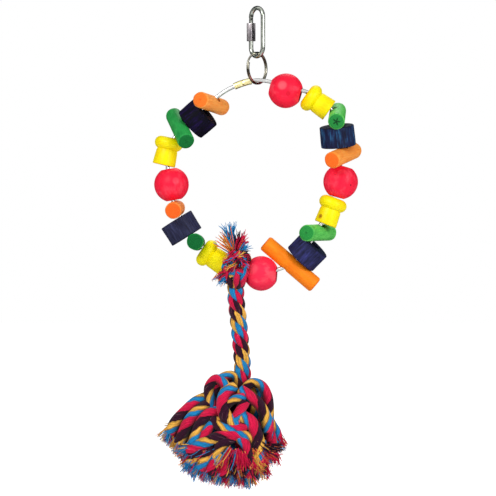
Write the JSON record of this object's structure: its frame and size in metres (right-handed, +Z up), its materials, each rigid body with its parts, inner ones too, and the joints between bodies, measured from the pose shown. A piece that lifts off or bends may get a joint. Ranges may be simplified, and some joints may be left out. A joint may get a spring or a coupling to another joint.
{
  "type": "parrot cartwheel toy",
  "caption": "Hanging bird toy: a wire hoop strung with dyed wooden dowels, drums, spools and balls, with a quick link above and a knotted cotton rope tassel below.",
  "frame": {"origin": "inside top of the quick link's upper bow, where the toy hangs", "axes": "+X to the viewer's right across the hoop, +Y away from the viewer through the hoop, +Z up; the hoop lies in the XZ plane"},
  "size_m": [0.174, 0.06, 0.3998],
  "materials": {
    "steel": "polished nickel-plated steel",
    "ferrule_metal": "pale satin plating",
    "orange_wood": "dyed hardwood, matt",
    "blue_wood": "dyed hardwood, matt, with grain",
    "green_wood": "dyed hardwood, matt",
    "yellow_wood": "dyed hardwood, satin",
    "red_wood": "dyed hardwood, satin",
    "cotton_rope": "multicolour twisted cotton, crimson, blue, yellow and dark purple"
  },
  "bodies": {
    "link": {"quick_link": "steel"},
    "nut": {"quick_link_nut": "steel"},
    "ring": {"split_ring": "steel"},
    "hoop": {"hoop_wire": "steel", "crimp_ferrule": "ferrule_metal"},
    "orange_dowel_1": {"orange_dowel_1": "orange_wood"},
    "blue_drum_1": {"blue_drum_1": "blue_wood"},
    "green_dowel_1": {"green_dowel_1": "green_wood"},
    "yellow_spool_1": {"yellow_spool_1": "yellow_wood"},
    "red_ball_1": {"red_ball_1": "red_wood"},
    "orange_dowel_2": {"orange_dowel_2": "orange_wood"},
    "blue_drum_2": {"blue_drum_2": "blue_wood"},
    "green_dowel_2": {"green_dowel_2": "green_wood"},
    "yellow_spool_2": {"yellow_spool_2": "yellow_wood"},
    "red_ball_2": {"red_ball_2": "red_wood"},
    "orange_dowel_3": {"orange_dowel_3": "orange_wood"},
    "blue_drum_3": {"blue_drum_3": "blue_wood"},
    "green_dowel_3": {"green_dowel_3": "green_wood"},
    "yellow_spool_3": {"yellow_spool_3": "yellow_wood"},
    "red_ball_3": {"red_ball_3": "red_wood"},
    "orange_dowel_4": {"orange_dowel_4": "orange_wood"},
    "blue_drum_4": {"blue_drum_4": "blue_wood"},
    "green_dowel_4": {"green_dowel_4": "green_wood"},
    "yellow_spool_4": {"yellow_spool_4": "yellow_wood"},
    "red_ball_4": {"red_ball_4": "red_wood"},
    "rope": {"rope_top_knot": "cotton_rope", "hanging_rope": "cotton_rope", "tassel": "cotton_rope"}
  },
  "joints": [
    {"name": "nut_travel", "type": "slide", "parent": "link", "child": "nut", "axis": [0, 0, 1], "range_m": [0, 0.006]},
    {"name": "ring_swing", "type": "hinge", "parent": "link", "child": "ring", "pos_m": [0, 0, -0.03825], "axis": [0.6561, -0.7547, 0], "range_deg": [-80, 80]},
    {"name": "hoop_swing", "type": "hinge", "parent": "ring", "child": "hoop", "pos_m": [0, 0, -0.0582], "axis": [1, 0, 0], "range_deg": [-45, 75]},
    {"name": "orange_dowel_1_spin", "type": "hinge", "parent": "hoop", "child": "orange_dowel_1", "pos_m": [-0.03783, 0, -0.07755], "axis": [-0.7758, 0, -0.6309], "range_deg": [-38, 20]},
    {"name": "blue_drum_1_spin", "type": "hinge", "parent": "hoop", "child": "blue_drum_1", "pos_m": [-0.04912, 0, -0.08969], "axis": [-0.7498, 0.1908, -0.6336], "continuous": true},
    {"name": "green_dowel_1_spin", "type": "hinge", "parent": "hoop", "child": "green_dowel_1", "pos_m": [-0.06402, 0, -0.09793], "axis": [-0.6313, 0, -0.7756], "range_deg": [-15, 35]},
    {"name": "yellow_spool_1_spin", "type": "hinge", "parent": "hoop", "child": "yellow_spool_1", "pos_m": [-0.07483, 0, -0.11718], "axis": [-0.2228, 0, -0.9749], "continuous": true},
    {"name": "red_ball_1_spin", "type": "hinge", "parent": "hoop", "child": "red_ball_1", "pos_m": [-0.071, 0, -0.14475], "axis": [0.1698, 0, -0.9855], "continuous": true},
    {"name": "orange_dowel_2_spin", "type": "hinge", "parent": "hoop", "child": "orange_dowel_2", "pos_m": [-0.06799, 0, -0.16529], "axis": [0.3893, 0, -0.9211], "range_deg": [-8, 12]},
    {"name": "blue_drum_2_spin", "type": "hinge", "parent": "hoop", "child": "blue_drum_2", "pos_m": [-0.06258, 0, -0.18096], "axis": [0.5294, 0, -0.8484], "continuous": true},
    {"name": "green_dowel_2_spin", "type": "hinge", "parent": "hoop", "child": "green_dowel_2", "pos_m": [-0.05071, 0, -0.19246], "axis": [0.6859, 0, -0.7277], "range_deg": [-5, 15]},
    {"name": "yellow_spool_2_spin", "type": "hinge", "parent": "hoop", "child": "yellow_spool_2", "pos_m": [-0.03627, 0, -0.20513], "axis": [0.8278, 0, -0.5611], "continuous": true},
    {"name": "red_ball_2_spin", "type": "hinge", "parent": "hoop", "child": "red_ball_2", "pos_m": [0.00335, 0, -0.2185], "axis": [0.9934, -0.1045, -0.0481], "continuous": true},
    {"name": "orange_dowel_3_spin", "type": "hinge", "parent": "hoop", "child": "orange_dowel_3", "pos_m": [0.0276, 0, -0.21069], "axis": [0.8244, 0, 0.5661], "range_deg": [-5, 60]},
    {"name": "blue_drum_3_spin", "type": "hinge", "parent": "hoop", "child": "blue_drum_3", "pos_m": [0.04169, 0, -0.20054], "axis": [0.6842, -0.1737, 0.7083], "continuous": true},
    {"name": "green_dowel_3_spin", "type": "hinge", "parent": "hoop", "child": "green_dowel_3", "pos_m": [0.05062, 0, -0.18469], "axis": [0.4802, 0, 0.8772], "range_deg": [-3, 20]},
    {"name": "yellow_spool_3_spin", "type": "hinge", "parent": "hoop", "child": "yellow_spool_3", "pos_m": [0.06072, 0, -0.16667], "axis": [0.3467, 0, 0.938], "continuous": true},
    {"name": "red_ball_3_spin", "type": "hinge", "parent": "hoop", "child": "red_ball_3", "pos_m": [0.06936, 0, -0.14249], "axis": [0.2741, 0, 0.9617], "continuous": true},
    {"name": "orange_dowel_4_spin", "type": "hinge", "parent": "hoop", "child": "orange_dowel_4", "pos_m": [0.07154, 0, -0.1204], "axis": [0.1223, 0, 0.9925], "range_deg": [-10, 15]},
    {"name": "blue_drum_4_spin", "type": "hinge", "parent": "hoop", "child": "blue_drum_4", "pos_m": [0.06691, 0, -0.10449], "axis": [-0.1064, -0.1736, 0.979], "continuous": true},
    {"name": "green_dowel_4_spin", "type": "hinge", "parent": "hoop", "child": "green_dowel_4", "pos_m": [0.06656, 0, -0.0878], "axis": [-0.5019, 0, 0.8649], "range_deg": [-1.5, 3]},
    {"name": "yellow_spool_4_spin", "type": "hinge", "parent": "hoop", "child": "yellow_spool_4", "pos_m": [0.05035, 0, -0.07661], "axis": [-0.8195, 0, 0.5731], "continuous": true},
    {"name": "red_ball_4_spin", "type": "hinge", "parent": "hoop", "child": "red_ball_4", "pos_m": [0.02373, 0, -0.0669], "axis": [-0.9596, 0.1045, 0.2613], "continuous": true},
    {"name": "rope_swing", "type": "hinge", "parent": "hoop", "child": "rope", "pos_m": [-0.01757, 0, -0.21251], "axis": [0.9105, 0, -0.4134], "range_deg": [-22, 15]}
  ]
}
